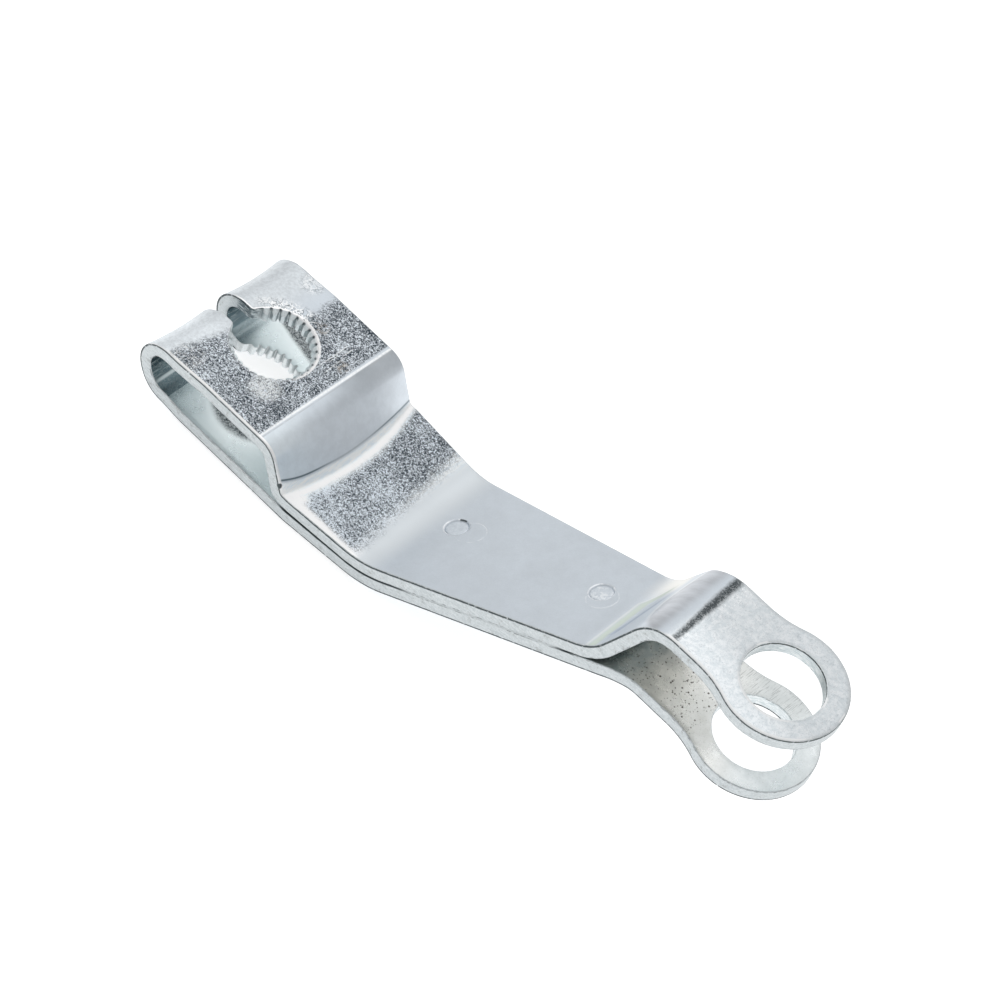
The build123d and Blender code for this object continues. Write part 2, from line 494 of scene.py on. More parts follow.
def grid_rows():
    """Places along the strip for the rows of the blank's grid, closer together in tight bends."""
    rows = []
    segments = side_segments(np.zeros(1))
    for i, (_, _, length, radius, _) in enumerate(segments):
        bend_share = max(radius / bend_step_radius, least_bend_share)
        step = min(grid_step, bend_step * bend_share) if radius else grid_step
        count = max(1, math.ceil(float(length[0]) / step))
        rows += [marks[i] + (marks[i + 1] - marks[i]) * k / count for k in range(count) if length[0] > 0]
    return np.array(rows)


def from_border(points, border):
    """Distance of each point from the nearest point of a border."""
    return np.array([np.linalg.norm(border - point, axis=1).min() for point in points])


def triangulated(borders, extra, kept_off):
    """Triangles of a face of the blank between its borders, with a grid of points in it."""
    columns = np.arange(column_start, half_width, column_step)
    grid = np.array([(a, c) for a in grid_rows() for c in columns])
    border = np.concatenate(borders)
    grid = grid[inside(grid, borders)]
    grid = grid[from_border(grid, border) > border_clearance]
    for centre in kept_off:
        grid = grid[np.linalg.norm(grid - centre, axis=1) > weld_radius + ring_clearance]
    inner = np.concatenate([extra, grid])
    points = np.concatenate([border, inner])
    edges, start = [], 0
    for count in map(len, borders):
        edges += [(start + i, start + (i + 1) % count) for i in range(count)]
        start += count
    made = delaunay_2d_cdt([Vector(p) for p in points.tolist()], edges, [], 0, merge_distance)
    faces, source = made[2], [origin[0] for origin in made[3]]
    faces = np.array([[source[v] for v in face] for face in faces])
    faces = faces[inside(points[faces].mean(1), borders)]
    return inner, faces, from_border(inner, border)


def ring(centre, radius, count):
    angles = 2 * math.pi * np.arange(count) / count
    return centre + radius * np.stack([np.cos(angles), np.sin(angles)], -1)


weld_centres = [(float(along_at([x], [weld_y], 1)[0]), weld_y) for x in weld_places_x]


def rings_round(centre):
    """Points of the rings round a weld's dimple."""
    radii = [weld_radius + grow for grow in dimple_rings]
    return [ring(centre, radius, max(6, round(2 * math.pi * radius / ring_step))) for radius in radii]


class Blank:
    """Points of a flat piece, as rows of along, across, through and distance from the edge, and its faces."""

    def __init__(self):
        self.points = np.zeros((0, 4))
        self.faces, self.finishes = [], []

    def add(self, points, through, from_edge):
        """Adds points, and gives their numbers."""
        first = len(self.points)
        rows = [np.broadcast_to(column, len(points)) for column in (*points.T, through, from_edge)]
        self.points = np.concatenate([self.points, np.transpose(rows)])
        return np.arange(first, len(self.points))

    def add_wall(self, rows):
        """Adds the wall of a loop, row by row, and gives the numbers of the points in each row."""
        numbers = [self.add(points, through, 0.0) for points, through in rows]
        for upper, lower in zip(numbers, numbers[1:]):
            self.faces += zip(upper, lower, np.roll(lower, -1), np.roll(upper, -1))
            self.finishes += [CUT] * len(upper)
        return numbers

    def add_face(self, walls, row, outer):
        """Adds a face of the blank between one row of each wall. The outer face has the welds' dimples."""
        borders = [self.points[wall[row], :2] for wall in walls]
        dimpled = weld_centres if outer else []
        rings = [points for centre in dimpled for points in rings_round(centre)]
        extra = np.concatenate([np.zeros((0, 2)), *rings])
        points, triangles, distance = triangulated(borders, extra, dimpled)
        through = np.full(len(points), 1.0 if outer else -1.0)
        for centre in dimpled:
            reach = np.linalg.norm(points - centre, axis=1)
            through += (at_depth(dimple_floor) - 1) * (1 - smooth(reach, *dimple_wall))
        numbers = np.concatenate([*(wall[row] for wall in walls), self.add(points, through, distance)])
        corners = np.concatenate([*borders, points])[triangles]
        a, b = corners[:, 1] - corners[:, 0], corners[:, 2] - corners[:, 0]
        turned = (a[:, 0] * b[:, 1] - a[:, 1] * b[:, 0] > 0) != outer
        triangles[turned] = triangles[turned][:, ::-1]
        self.faces += numbers[triangles].tolist()
        self.finishes += [OUTER if outer else INNER] * len(triangles)


def strip_blank():
    """The whole folded strip: two faces of the blank and the walls of its edges."""
    opening = Loop(opening_loop(), True, tooth_round)
    opening.bevel_bore(float(along_at([0], [0], 1)[0]))
    outline = Loop(outline_loop(), False, edge_round)
    outline.meet()
    eyes = [Loop(eye_loop(leaf), True, hole_round) for leaf in (-1, 1)]
    blank = Blank()
    walls = [blank.add_wall(loop.rows()) for loop in (outline, opening, *eyes)]
    blank.add_face(walls, 0, True)
    blank.add_face(walls, -1, False)
    return blank


def button_blank(centre):
    """A weld's button, a low round cake in its dimple."""
    centre = np.array([centre])
    blank = Blank()
    top = blank.add(centre, at_depth(weld_sink), 0.0)[0]
    rows = []
    for share, drop in button_profile:
        rows.append((ring(centre, button_radius * share, button_sides), at_depth(weld_sink + drop)))
    wall = blank.add_wall(rows)
    bottom = blank.add(centre, at_depth(dimple_floor), 0.0)[0]
    blank.faces += [(top, a, b) for a, b in zip(wall[0], np.roll(wall[0], -1))]
    blank.faces += [(a, bottom, b) for a, b in zip(wall[-1], np.roll(wall[-1], -1))]
    blank.finishes = [0] * len(blank.faces)
    return blank


def bent_piece(name, blank, finishes):
    """A mesh object from a blank, with each point's place in the sheet kept for its finish."""
    along, across, through, from_edge = blank.points.T
    mesh = bpy.data.meshes.new(name)
    mesh.from_pydata((bent(along, across, through) * MM).tolist(), [], blank.faces)
    for finish in finishes:
        mesh.materials.append(finish.material)
    mesh.polygons.foreach_set("material_index", blank.finishes)
    mesh.polygons.foreach_set("use_smooth", [True] * len(blank.faces))
    for label, values in ("along", along), ("through", through), ("from_edge", from_edge):
        mesh.attributes.new(label, "FLOAT", "POINT").data.foreach_set("value", values.astype(np.float32))
    mesh.set_sharp_from_angle(angle=math.radians(sharp_angle))
    mesh.update()
    piece = bpy.data.objects.new(name, mesh)
    bpy.context.scene.collection.objects.link(piece)
    weighted = piece.modifiers.new("face_normals", "WEIGHTED_NORMAL")
    weighted.keep_sharp = True
    return piece


# Shader nodes

class Value:
    """A number that varies over a surface. Sums, products and other numbers made from it are nodes too."""

    def __init__(self, nodes, socket):
        self.nodes = nodes
        self.socket = socket

    def __add__(self, other):
        return self.nodes.math("ADD", self, other)

    def __sub__(self, other):
        return self.nodes.math("SUBTRACT", self, other)

    def __rsub__(self, other):
        return self.nodes.math("SUBTRACT", other, self)

    def __mul__(self, other):
        return self.nodes.math("MULTIPLY", self, other)

    def __abs__(self):
        return self.nodes.math("ABSOLUTE", self)

    def at_least(self, other):
        return self.nodes.math("MAXIMUM", self, other)

    def at_most(self, other):
        return self.nodes.math("MINIMUM", self, other)

    def past(self, low, high, start=0.0, end=1.0):
        """start before low and end past high, with an even curve between. high may be the smaller number."""
        node = self.nodes.node("ShaderNodeMapRange")
        node.interpolation_type = "SMOOTHSTEP"
        names = ("Value", "From Min", "From Max", "To Min", "To Max")
        for given, name in zip((self, low, high, start, end), names):
            self.nodes.put(given, node.inputs[name])
        return Value(self.nodes, node.outputs[0])

    def band(self, middle_value, half, soft):
        """1 within half of the middle value, falling to 0 over the soft width on both sides."""
        return abs(self - middle_value).past(half, half + soft, 1.0, 0.0)


class Nodes:
    """Short names for the shader nodes of a material or world."""

    def __init__(self, owner):
        owner.use_nodes = True
        self.tree = owner.node_tree

    def node(self, kind):
        return self.tree.nodes.new(kind)

    def put(self, value, socket):
        """Links a value to a socket, or sets the socket to a plain number, place or colour."""
        if isinstance(value, Value):
            value = value.socket
        if isinstance(value, bpy.types.NodeSocket):
            self.tree.links.new(value, socket)
        elif socket.type == "RGBA":
            socket.default_value = (*value, 1)
        else:
            socket.default_value = value

    def math(self, operation, *values):
        node = self.node("ShaderNodeMath")
        node.operation = operation
        for value, socket in zip(values, node.inputs):
            self.put(value, socket)
        return Value(self, node.outputs[0])

    def vector_math(self, operation, first, second):
        node = self.node("ShaderNodeVectorMath")
        node.operation = operation
        self.put(first, node.inputs[0])
        self.put(second, node.inputs["Scale" if operation == "SCALE" else 1])
        if operation in ("SCALE", "MULTIPLY"):
            return node.outputs["Vector"]
        return Value(self, node.outputs["Value"])

    def mix(self, share, first, second):
        """A colour between two."""
        node = self.node("ShaderNodeMix")
        node.data_type = "RGBA"
        self.put(share, node.inputs["Factor"])
        self.put(first, node.inputs[6])
        self.put(second, node.inputs[7])
        return node.outputs[2]

    def blend(self, share, first, second):
        """A number between two."""
        node = self.node("ShaderNodeMix")
        self.put(share, node.inputs["Factor"])
        self.put(first, node.inputs[2])
        self.put(second, node.inputs[3])
        return Value(self, node.outputs[0])


class Finish(Nodes):
    """A zinc finish, painted layer on layer. Places are in millimetres."""

    def __init__(self, name, colour):
        self.material = bpy.data.materials.new(name)
        super().__init__(self.material)
        self.colour = colour
        coordinates = self.node("ShaderNodeTexCoord")
        self.place = self.vector_math("SCALE", coordinates.outputs["Object"], 1 / MM)
        split = self.node("ShaderNodeSeparateXYZ")
        self.put(self.place, split.inputs[0])
        self.x, self.y, self.z = (Value(self, socket) for socket in split.outputs)

    def distance(self, point):
        return self.vector_math("DISTANCE", self.place, point)

    def from_axis(self, axis_x):
        """Distance from an upright axis."""
        off = self.x - axis_x
        return self.math("SQRT", off * off + self.y * self.y)

    def attribute(self, name):
        node = self.node("ShaderNodeAttribute")
        node.attribute_name = name
        return Value(self, node.outputs["Fac"])

    def noise(self, scale, detail, roughness, squeeze=None, distortion=0.0):
        """Noise. It is squeezed into streaks where three factors for its axes are given."""
        place = self.vector_math("MULTIPLY", self.place, squeeze) if squeeze else self.place
        node = self.node("ShaderNodeTexNoise")
        self.put(place, node.inputs["Vector"])
        node.inputs["Scale"].default_value = scale
        node.inputs["Detail"].default_value = detail
        node.inputs["Roughness"].default_value = roughness
        node.inputs["Distortion"].default_value = distortion
        return Value(self, node.outputs["Fac"])

    def scribbles(self, scale, width, strength):
        """Thin curling marks, the contour lines of a noise."""
        return self.noise(scale, 3.0, 0.6, distortion=0.8).band(0.5, 0.0, width) * strength

    def cells(self, scale):
        """Distance from the middle of the nearest of many small cells, and a level of each cell's own."""
        node = self.node("ShaderNodeTexVoronoi")
        self.put(self.place, node.inputs["Vector"])
        node.inputs["Scale"].default_value = scale
        split = self.node("ShaderNodeSeparateColor")
        self.put(node.outputs["Color"], split.inputs[0])
        return Value(self, node.outputs["Distance"]), Value(self, split.outputs[0])

    def shade(self, colour, value, low, high, least, most):
        """A colour times least where the value is before low, and times most where it is past high."""
        return self.vector_math("SCALE", colour, value.past(low, high, least, most))

    def paint(self, share, colour):
        """Lays a colour over the finish, as strongly as share says."""
        self.colour = self.mix(share, self.colour, colour)

    def complete(self, roughness, height, bump_height):
        """Joins the finish to the shader. bump_height is in millimetres."""
        shader = self.tree.nodes["Principled BSDF"]
        self.put(self.colour, shader.inputs["Base Color"])
        self.put(roughness, shader.inputs["Roughness"])
        shader.inputs["Metallic"].default_value = zinc_metallic
        bump = self.node("ShaderNodeBump")
        bump.inputs["Distance"].default_value = bump_height * MM
        bump.inputs["Strength"].default_value = 1.0
        self.put(height, bump.inputs["Height"])
        self.put(bump.outputs[0], shader.inputs["Normal"])
        return self


zinc_metallic = 0.9
satin = (0.60, 0.65, 0.70)
pale = (0.65, 0.69, 0.72)
white = (1.0, 1.0, 1.0)
spangle_dark = (0.05, 0.066, 0.083)
spangle_light = (0.86, 0.92, 0.98)
near_black = (0.05, 0.065, 0.07)
crease_x = (17.27, 17.0)  # of the crease at the step's foot, at its near end and in the middle
crease_curve = 1 / 68
far_crease_curve = 0.0068  # how much more it curves on the far side
crease_end_place = (15.25, -12.7, 5.4)  # where the crease runs out over the near edge
ridge_y = 1.1  # middle of the curved line at which the fork's ramp turns grey
ridge_z = 27.7
ridge_curve = 0.06


# Outside of the strip. The numbers given with x, y and z are places, and those given with a noise its levels.

def spangle_field(n):
    """Where spangle lies: on the clamp's top up to the fold's smooth cap, and where the waist starts."""
    x, y, wander = n.x, n.y, n.wander
    cap_edge = y.at_most(0) * 0.256 - 4.4 + y.past(0, 3) * 4.2
    on_clamp = (x - cap_edge + wander).past(-0.9, 0.9) * x.past(9.8, 9.4)
    start = y.past(-9, -11, 1.9, 3)
    on_waist = (n.past_crease + wander * 0.3 - start).past(-0.2, 1.2)
    on_waist = on_waist * (27.4 - y * 0.11 - x + wander).past(-1.5, 1.5)
    on_waist = on_waist * (y + wander * 0.3).past(-11.7, -10.7)
    return on_clamp.at_least(on_waist) * n.upper


def spangle(n):
    """Dense dark and light crystals of coarse zinc, as (colour, level)."""
    level = n.cells(5.4)[1] * 0.32 + n.cells(8.5)[1] * 0.28
    level = level + n.noise(5.2, 3, 0.75, distortion=1.2) * 1.6 - 0.62
    level = level + n.noise(0.35, 2, 0.5) * 0.3 - 0.15
    level = level + n.x.past(14, 17) * n.y.past(9, -5) * 0.085
    level = level + n.x.band(16, 1.5, 3.5) * n.y.past(-3, -8) * 0.09
    return n.mix(level.past(0.36, 0.7), spangle_dark, spangle_light), level


def smooth_stretches(n):
    """Satin zinc with slight clouds, paler on the cap of the fold."""
    n.colour = n.shade(n.colour, n.cloud, 0.3, 0.7, 0.97, 1.03)
    n.colour = n.shade(n.colour, n.patches, 0.35, 0.65, 0.985, 1.015)
    n.colour = n.shade(n.colour, n.fine, 0.35, 0.65, 0.98, 1.02)
    cap = n.x.past(-1, -6)
    tone = n.shade(pale, n.noise(1.8, 5, 0.75), 0.35, 0.65, 0.88, 1.06)
    n.paint(cap, n.shade(tone, n.y, -2, -6, 1, 1.12))
    n.paint(n.scribbles(0.5, 0.006, 0.25) * cap, (0.45, 0.49, 0.53))


def step(n):
    """Face of the step behind the clamp, lighter at its near end and with painted shade below its top bend,
    its streaked foot with a painted sheen, and the paler start of the waist's slope.
    """
    x, y = n.x, n.y
    tone = n.mix(y.past(-12, -2), (0.79, 0.86, 0.91), (0.655, 0.71, 0.765))
    tone = n.mix(y.past(5, 10), tone, (0.72, 0.775, 0.83))
    # Painted shade: the face is darker just below its top bend, most towards the far side.
    top_shade = y.past(-4, 8, 0.9, 0.52)
    tone = n.shade(tone, x, 10.4, 13.6, top_shade, 1)
    tone = n.shade(tone, n.patches, 0.35, 0.65, 0.96, 1.03)
    n.paint(x.past(10.1, 10.4) * n.past_fold.past(0, -0.25) * n.upper, tone)
    # The foot's streaks are the zinc's own. Their near-white tone is a painted sheen on the bend.
    foot_streaks_and_sheen = n.mix(n.streaks.past(0.38, 0.58), (0.86, 0.93, 0.98), (0.98, 1, 1))
    n.paint(n.foot, foot_streaks_and_sheen)
    n.paint(x.band(30, 0.5, 3.5) * n.upper, pale)


def ramp_and_ear(n):
    """Grey ramp of the fork with lines down it, and the grained upper ear, flecked on its far side."""
    ramp = n.above_ridge.past(-0.6, 0.8) * n.x.past(70.6, 69) * n.upper
    lines_down = n.noise(0.8, 4, 0.6, squeeze=(0.35, 1.3, 0.35))
    tone = n.shade((0.51, 0.535, 0.57), lines_down, 0.3, 0.7, 0.9, 1.08)
    n.paint(ramp, n.shade(tone, n.y, -7, -2, 0.86, 1))
    grain = n.noise(1.3, 4, 0.65) * 0.5 + n.noise(3.4, 5, 0.75) * 0.5
    tone = n.mix(grain.past(0.4, 0.6), (0.65, 0.7, 0.73), (0.81, 0.84, 0.86))
    to_far = (n.x * 0.3 + n.y).past(17, 24.5)
    flecks = n.noise(3.4, 5, 0.8).past(0.56, 0.66) * n.blend(to_far, 0.1, 0.6)
    tone = n.mix(flecks, tone, (0.4, 0.43, 0.46))
    tone = n.mix(n.scribbles(0.9, 0.02, 0.45), tone, (0.4, 0.44, 0.47))
    n.paint(n.ear, n.vector_math("SCALE", tone, n.blend(to_far, 1.12, 0.9)))


def step_lines(n):
    """Painted highlights at the step's turns and painted shade along the crease between them. Gives the
    highlight at its top.
    """
    x, y = n.x, n.y
    top_x = x - y * 0.02
    # Painted highlight along the step's top bend.
    top_highlight = top_x.band(9.95, 0.06, 0.22) * n.upper
    top_highlight = top_highlight * n.noise(2.8, 4, 0.8).past(0.34, 0.54, 0.45, 1)
    under_line = top_x.band(10.35, 0.02, 0.1) * n.upper * n.patches.past(0.4, 0.55)
    n.paint(under_line * 0.45, (0.4, 0.4, 0.4))
    n.paint(top_highlight * 0.8, (0.93, 0.94, 0.94))
    # Painted highlight just past the crease, widening to a wedge at the near end.
    near_highlight_wedge = n.past_crease.past(1.2, 2) * y.past(-9.5, -11) * x.past(30, 28)
    n.paint(n.past_crease.band(1.65, 0.2, 0.5).at_least(near_highlight_wedge) * n.upper, white)
    # Painted shade along the crease at the step's foot, strongest towards its ends.
    crease = n.past_fold.band(-0.05, 0.02, 0.1) * n.upper
    toward_ends = y.past(-3, -8, 0.25, 0.85).at_least(y.past(2, 7, 0.25, 0.65))
    n.paint(crease * toward_ends, (0.08, 0.13, 0.15))
    return top_highlight


def heat_tints_and_ridge_highlight(n):
    """Faint green, blue and cream bands in the trough of the fork, and a painted highlight along the ridge
    above it.
    """
    y, z = n.y, n.z
    trough = n.x.past(61, 61.8) * n.x.past(70, 69) * n.upper
    green_z = (y - 2).at_least(0) * 0.5 + 22.2
    blue_z = y * 0.3 + 24.9
    cream_line = z.band(green_z - 0.75, 0.05, 0.15)
    ridge_highlight = n.above_ridge.band(0, 0.1, 0.5) * y.past(-6, -3.5)
    green = z.band(green_z, 0.3, 0.45) * y.past(7, 4.5)
    blue = z.band(blue_z, 0.2, 0.8) * y.past(-7, -4.5) * y.past(5, 0.5)
    n.paint(z.band(24, 1, 3) * y.past(2, 6.5) * trough * 0.8, (0.84, 0.825, 0.78))
    n.paint(cream_line * trough * 0.3, (0.86, 0.86, 0.8))
    # Painted highlight along the ridge where the ramp turns.
    n.paint(ridge_highlight * trough * 0.4, (0.9, 0.91, 0.9))
    n.paint(green * trough * 0.8, (0.53, 0.6, 0.52))
    n.paint(blue * trough * 0.85, (0.36, 0.42, 0.52))


def rough_line(n):
    """Rough dark line where the ear turns flat, and bright flecks past it."""
    y = n.y
    off_line = abs(n.x + n.wander * 0.2 - (72 - y * 0.05))
    line = off_line.past(0.1, y.past(-6, 4, 0.75, 1.1), 1, 0) * n.upper
    grit = n.noise(3.8, 5, 0.85).past(0.36, 0.58)
    line = line * n.blend(grit, 0.45, 1) * y.past(-7, 2, 1, 1.25)
    n.paint(line.at_most(0.97), (0.05, 0.06, 0.065))
    past_line = n.x.band(73.4, 0.3, 0.8) * y.past(-6, 5) * n.upper
    flecks = n.noise(3, 4, 0.8).past(0.56, 0.64)
    n.paint(flecks * past_line * 0.8, (0.97, 0.98, 0.98))


def press_marks(n):
    """Crumpled plating by the bore and by both ends of the cap."""
    by_bore = n.from_axis(0).past(8.8, 6.9) * n.y.past(2.5, 4.5) * n.x.past(2.2, 0.2)
    by_fold = n.distance((-5.6, -11, clamp_height)).past(3, 1.5)
    by_rim = n.distance((-4.2, 11.8, clamp_height)).past(2.4, 1.2)
    crumpled = by_bore.at_least(by_fold.at_least(by_rim) * 0.55) * n.upper
    creases = n.noise(1.2, 4, 0.6, distortion=1)
    n.paint(creases.band(0.45, 0.008, 0.03) * crumpled * 0.9, (0.08, 0.1, 0.11))
    n.paint(creases.band(0.53, 0.012, 0.03) * crumpled * 0.95, white)


def bright_rims(n):
    """Painted highlights on the rims of the bore and slot and along the near edges, a lighter patch by the
    bore, a dot of painted shade where the crease ends, and darker rims round the ear.
    """
    x, y, from_edge = n.x, n.y, n.from_edge
    # Painted highlight on the bore's rim, mostly on its far side, and along the slot's far edge.
    rim = n.from_axis(0).past(6.5, 6.36) * n.noise(1.5, 3, 0.6).past(0.28, 0.44)
    rim = rim * (x * 0.3 + y).past(-1.5, 1.5, 0.15, 1)
    slot_rim_highlight = from_edge.past(0.3, 0.1) * y.band(2, 0.6, 0.4) * x.past(-10, -8.5)
    n.paint(rim.at_least(slot_rim_highlight) * n.upper * 0.95, white)
    # A lighter patch beside the bore's near side.
    lighter_patch = n.distance((4.5, -6.3, clamp_height)).band(0, 1.2, 1.8) * n.fine.past(0.4, 0.55)
    n.paint(lighter_patch * n.upper * 0.85, (0.9, 0.93, 0.94))
    # Painted highlights along the near edges of the clamp and waist and round the ear.
    near_rim_highlight = from_edge.past(0.38, 0.2) * y.past(-8, -10)
    near_rim_highlight = near_rim_highlight * x.past(30, 28) * x.past(-9, -6)
    ear_rim_highlight = from_edge.past(0.35, 0.15) * y.past(-3, -5) * x.past(70.5, 72)
    n.paint(near_rim_highlight.at_least(ear_rim_highlight) * n.upper * 0.95, white)
    # Painted shade: a black dot where the crease at the step's foot runs out over the near edge.
    n.paint(n.distance(crease_end_place).past(0.5, 0.3) * 0.95, near_black)
    n.paint(from_edge.past(0.5, 0) * x.past(70, 73) * n.upper * 0.45, (0.45, 0.48, 0.49))


def stains_and_scratches(n):
    """Brown stains by the bore, thin scratches, and a scored patch behind the bore."""
    stain = n.distance((2.3, 7.2, clamp_height)).at_most(n.distance((8.4, 4.8, clamp_height)))
    stain = stain.past(1.4, 0.3) * n.noise(2.6, 3, 0.7).past(0.44, 0.56)
    n.paint(stain * 0.5, (0.46, 0.38, 0.3))
    scratches = n.noise(1, 2, 0.5, squeeze=(0.35, 7, 1)).past(0.66, 0.72)
    n.paint(scratches * 0.12, (0.42, 0.46, 0.5))
    scored = n.x.band(7.4, 0.9, 0.5) * n.y.band(5, 2.5, 1) * n.upper
    scores = n.noise(1, 2, 0.5, squeeze=(3.6, 0.15, 1)).past(0.58, 0.64)
    n.paint(scores * scored * 0.9, (0.95, 0.97, 0.98))


def on_face(weld_centre, ahead, aside):
    """The place on the outer face so far ahead of a weld's centre along the strip and so far aside."""
    return tuple(bent([weld_centre[0] + ahead], [weld_centre[1] + aside], [1])[0])


def weld_rings(n):
    """Rings that the electrode left round the welds and faintly beside them, drawn as bumps with a pale
    painted highlight, and an arc of painted shade on the front weld's rim. Gives where the rings are.
    """
    broken = n.patches.past(0.4, 0.55)
    rings = []
    for centre, beside in zip(weld_centres, ((2.4, 0.1), (0.9, -0.9))):
        for place, radius, strength in ((0, 0), 0.15, 0.7), (beside, 0.55, 0.35):
            off_ring = n.distance(on_face(centre, *place)).band(weld_radius + radius, 0.03, 0.1)
            rings.append(off_ring * broken)
            # Painted highlight along each ring.
            n.paint(rings[-1] * strength, (0.92, 0.94, 0.96))
    # Painted shade on one side of the front weld's rim.
    rim_shade_arc = n.distance(on_face(weld_centres[0], 0, 0)).band(weld_radius + 0.1, 0.06, 0.08) * n.upper
    rim_shade_arc = rim_shade_arc * n.distance(on_face(weld_centres[0], -0.3, 1.75)).past(0.65, 0.45)
    n.paint(rim_shade_arc * 0.95, near_black)
    return rings[0] + rings[1] + rings[2] + rings[3]


def outer_zinc():
    """Satin zinc with fields of coarse spangle and a few marks of the press, and painted highlights and shade
    at its bends, rims and welds.
    """
    n = Finish("zinc_outer", satin)
    n.upper = n.attribute("along").past(-1, 1)
    n.from_edge = n.attribute("from_edge")
    n.wander = n.noise(1.3, 5, 0.75) * 3.4 - 1.7
    n.fine = n.noise(5, 4, 0.7)
    n.cloud = n.noise(0.16, 3, 0.55)
    n.patches = n.noise(0.7, 5, 0.65)
    n.streaks = n.noise(1, 4, 0.7, squeeze=(4, 0.5, 1))
    n.past_crease = n.x - (n.y.past(-10.5, -4, *crease_x) - n.y * n.y * crease_curve)
    far = n.y.at_least(0)
    n.past_fold = n.past_crease - far * far * far_crease_curve
    n.foot = n.past_fold.past(0, 0.3) * n.x.past(30, 27) * n.upper
    n.ear = (n.x + n.wander * 0.3).past(70.6, 72.3)
    off_ridge = n.y - ridge_y
    n.above_ridge = n.z - off_ridge * off_ridge * ridge_curve - ridge_z
    field = spangle_field(n)
    speckle, level = spangle(n)

    smooth_stretches(n)
    step(n)
    ramp_and_ear(n)
    step_highlight = step_lines(n)
    heat_tints_and_ridge_highlight(n)
    n.paint(field, speckle)
    rough_line(n)
    press_marks(n)
    bright_rims(n)
    stains_and_scratches(n)
    height = level * field + n.fine * n.ear.past(0, 1, 0.12, 0.5)
    height = height + n.streaks * n.foot * (1 - field) * 0.6 - weld_rings(n) * 0.7
    roughness = n.blend(field, n.cloud.past(0.3, 0.7, 0.34, 0.42), 0.5)
    roughness = n.blend(n.foot, roughness, 0.6)
    return n.complete(n.blend(step_highlight, roughness, 0.3), height, 0.035)


# Inside of the strip

def fold_shade_and_highlight(n):
    """Painted shade in the hollow of the fold and beside it, scratches, and a painted highlight where the
    fold is pinched.
    """
    x, y = n.x, n.y
    low = n.z.past(5, 4)
    # Streaked painted shade deep in the fold.
    streaks = n.noise(1.5, 4, 0.7, squeeze=(2.5, 0.35, 2.5))
    hollow = n.mix(streaks.past(0.48, 0.66), (0.11, 0.17, 0.2), (0.6, 0.68, 0.7))
    n.paint(x.past(-8, -8.3), hollow)
    scratched = n.scribbles(1.3, 0.02, 0.85) * x.past(-8.2, -8.6) * y.past(0, -2)
    n.paint(scratched, (0.86, 0.92, 0.93))
    # Painted shade beside the fold, and a fainter painted shade fading towards it.
    near_beside_shade = x.band(-6.7, 1.1, 0.2) * y.past(1, -1) * n.blend(n.grain, 0.7, 1)
    far_beside_shade = (y * 0.45 + x).past(-2.4, -5.2, 0, 0.75)
    beside = n.blend(y.past(-1, 1), near_beside_shade, far_beside_shade) * low
    n.paint(x.past(-1.5, -5.5) * y.past(1, -1) * low * 0.35, (0.4, 0.49, 0.52))
    n.paint(beside, (0.19, 0.25, 0.275))
    # Painted highlight where the fold is pinched.
    pinch_highlight = x.band(y.past(-2, 3, -8, -7.2), 0.06, 0.25) * low
    n.paint(pinch_highlight * y.past(-1, 1, 0.8, 0.3), (0.85, 0.91, 0.92))


def shade_crescents(n):
    """Crescents of painted shade on the lower leaf, on both sides of the bore. Gives where they are, for a
    grainy bump.
    """
    x, y = n.x, n.y
    off_middle = x - 2.6
    outline_y = off_middle * off_middle * 0.09 - 9.95
    near = (y - outline_y).past(-0.4, 1.1) * y.past(-5.5, -6.8)
    far = (y + x * 0.2 - 9.2).band(0, 0.6, 0.9) * x.past(-7, -5) * x.past(4.5, 2)
    both = near.at_least(far) * n.z.past(4, 3)
    n.paint(both * n.blend(n.grain, 0.3, 1), (0.04, 0.05, 0.06))
    return both


def between_leaves(n):
    """Where the leaves lie together hardly any light comes in. Plating closes the gap at the waist."""
    x = n.x
    closed = x.past(36, 41) * x.past(59, 55)
    tone = n.mix(closed, (0.02, 0.025, 0.03), (0.7, 0.75, 0.77))
    n.paint(x.past(16, 18) * x.past(61.5, 59), tone)


def fork(n):
    """Inside of the fork, with painted shade where the leaves part, then warm and light. Gives its small
    pits.
    """
    x, y = n.x, n.y
    mottle = n.noise(0.55, 4, 0.65).past(0.33, 0.67)
    # Painted shade where the leaves part.
    parting_shade = n.mix(mottle, (0.38, 0.44, 0.45), (0.56, 0.58, 0.56))
    warm = n.mix(mottle, (0.56, 0.565, 0.54), (0.73, 0.725, 0.69))
    light = n.mix(mottle, (0.84, 0.85, 0.83), (0.91, 0.92, 0.91))
    far_tone = n.mix(mottle, (0.7, 0.745, 0.755), (0.8, 0.84, 0.85))
    tone = n.mix(x.past(66.5, 71.5), parting_shade, warm)
    tone = n.mix(x.past(71.5, 77.5), tone, light)
    tone = n.mix((y * 0.5 + x).past(80, 86), tone, far_tone)
    in_fork = x.past(59.5, 61.5)
    n.paint(in_fork, tone)
    pitted = x.past(66.5, 68.5) * x.past(81, 78.5) * y.past(3, 0)
    clustered = n.noise(0.6, 2, 0.5).past(0.36, 0.44)
    coarse, small = (n.cells(scale)[0].past(0.22, 0.13) for scale in (1.3, 2.3))
    pits = coarse.at_least(small) * pitted * clustered
    n.paint(pits * 0.95, (0.075, 0.06, 0.05))
    n.paint(n.noise(4.5, 3, 0.7).past(0.58, 0.66) * in_fork * 0.3, (0.45, 0.47, 0.46))
    far_neck = x.past(75, 77) * y.past(1, 3) * x.past(90, 86)
    n.paint(far_neck * 0.45, (0.52, 0.54, 0.53))
    hatching = n.noise(1, 2, 0.5, squeeze=(7, 0.5, 1)).past(0.54, 0.64)
    n.paint(hatching * far_neck * 0.5, (0.27, 0.29, 0.29))
    return pits


